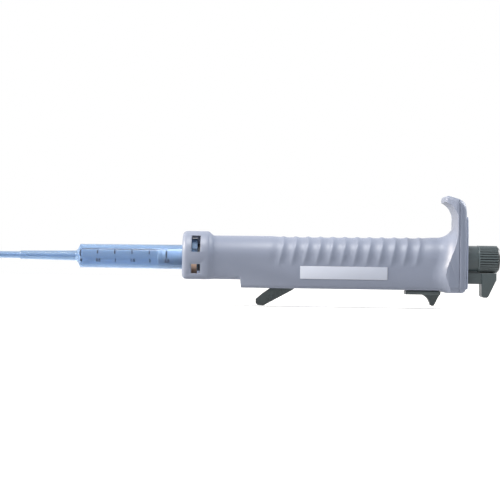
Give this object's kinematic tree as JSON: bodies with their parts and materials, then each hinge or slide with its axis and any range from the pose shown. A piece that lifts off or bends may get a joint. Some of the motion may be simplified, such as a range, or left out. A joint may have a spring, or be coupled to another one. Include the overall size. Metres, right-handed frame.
{
  "type": "repeating pipette",
  "caption": "Hand-held repeating pipette: syringe in a ribbed housing with finger hook, filling slide, release lever, rear trigger and dial knob.",
  "frame": {"origin": "mouth of the syringe nozzle, on the syringe's axis", "axes": "+X along the syringe's axis towards the dial knob, +Z towards the finger hook, +Y to the far side when the nozzle points left"},
  "size_m": [0.25, 0.028, 0.0557],
  "materials": {
    "clear_plastic": "translucent blue-white polypropylene",
    "rod_plastic": "white moulded",
    "seal_plastic": "soft white",
    "bronze": "phosphor bronze, satin",
    "housing_plastic": "fine-grained grey moulding",
    "plate_plastic": "smooth grey",
    "label": "blank white label",
    "steel": "plain",
    "frame_alloy": "mill finish",
    "chuck_plastic": "dark grey acetal",
    "dark_plastic": "dark green-grey moulding",
    "spring_steel": "spring wire",
    "blue_plastic": "dark blue",
    "drum_plastic": "natural acetal"
  },
  "bodies": {
    "root": {"syringe_barrel": "clear_plastic", "flange_clip": "bronze", "body_shell": "housing_plastic", "rear_cover": "housing_plastic", "back_plate": "plate_plastic", "name_plate": "label", "cover_screws": "steel", "guide_frame": "frame_alloy", "frame_screws": "steel", "spindle_bush": "bronze", "holding_pawl_pin": "steel", "holding_pawl_spring": "spring_steel", "return_spring": "spring_steel", "lever_pin": "steel", "lever_spring": "spring_steel"},
    "carriage": {"plunger_rod": "rod_plastic", "piston_seal": "seal_plastic", "rack": "steel", "plunger_chuck": "chuck_plastic", "filling_slide": "dark_plastic", "slide_screw": "steel"},
    "trigger": {"trigger_block": "dark_plastic", "drive_pawl_pin": "steel", "drive_pawl_spring": "spring_steel", "detent_ball": "steel", "detent_spring": "spring_steel"},
    "dial": {"dial_knob": "dark_plastic", "dial_spindle": "blue_plastic", "stroke_drum": "drum_plastic", "drum_pin": "steel", "retaining_clip": "steel"},
    "drive_pawl": {"drive_pawl": "steel"},
    "holding_pawl": {"holding_pawl": "steel"},
    "release_lever": {"release_lever": "dark_plastic"}
  },
  "joints": [
    {"name": "filling_slide", "type": "slide", "parent": "root", "child": "carriage", "axis": [1, 0, 0], "range_m": [-0.038, 0]},
    {"name": "trigger_pull", "type": "slide", "parent": "root", "child": "trigger", "axis": [1, 0, 0], "range_m": [-0.0048, 0], "stiffness_N_per_m": 300, "springref_m": 0.004, "deforming": ["return_spring"]},
    {"name": "dial_turn", "type": "hinge", "parent": "trigger", "child": "dial", "pos_m": [0.244, 0, 0.001], "axis": [1, 0, 0], "range_deg": [0, 288]},
    {"name": "lever_press", "type": "hinge", "parent": "root", "child": "release_lever", "pos_m": [0.146, 0, -0.0121], "axis": [0, 1, 0], "range_deg": [0, 14], "stiffness_Nm_per_rad": 0.02, "springref_deg": -17.19, "deforming": ["lever_spring"]},
    {"name": "drive_pawl_lift", "type": "hinge", "parent": "trigger", "child": "drive_pawl", "pos_m": [0.1965, -0.0015, -0.00605], "axis": [0, 1, 0], "range_deg": [0, 12], "stiffness_Nm_per_rad": 0.0002, "springref_deg": -11.46, "deforming": ["drive_pawl_spring"]},
    {"name": "holding_pawl_lift", "type": "hinge", "parent": "root", "child": "holding_pawl", "pos_m": [0.1886, 0.0015, -0.0059], "axis": [0, 1, 0], "range_deg": [0, 12], "stiffness_Nm_per_rad": 0.0002, "springref_deg": -11.46, "deforming": ["holding_pawl_spring"]}
  ]
}
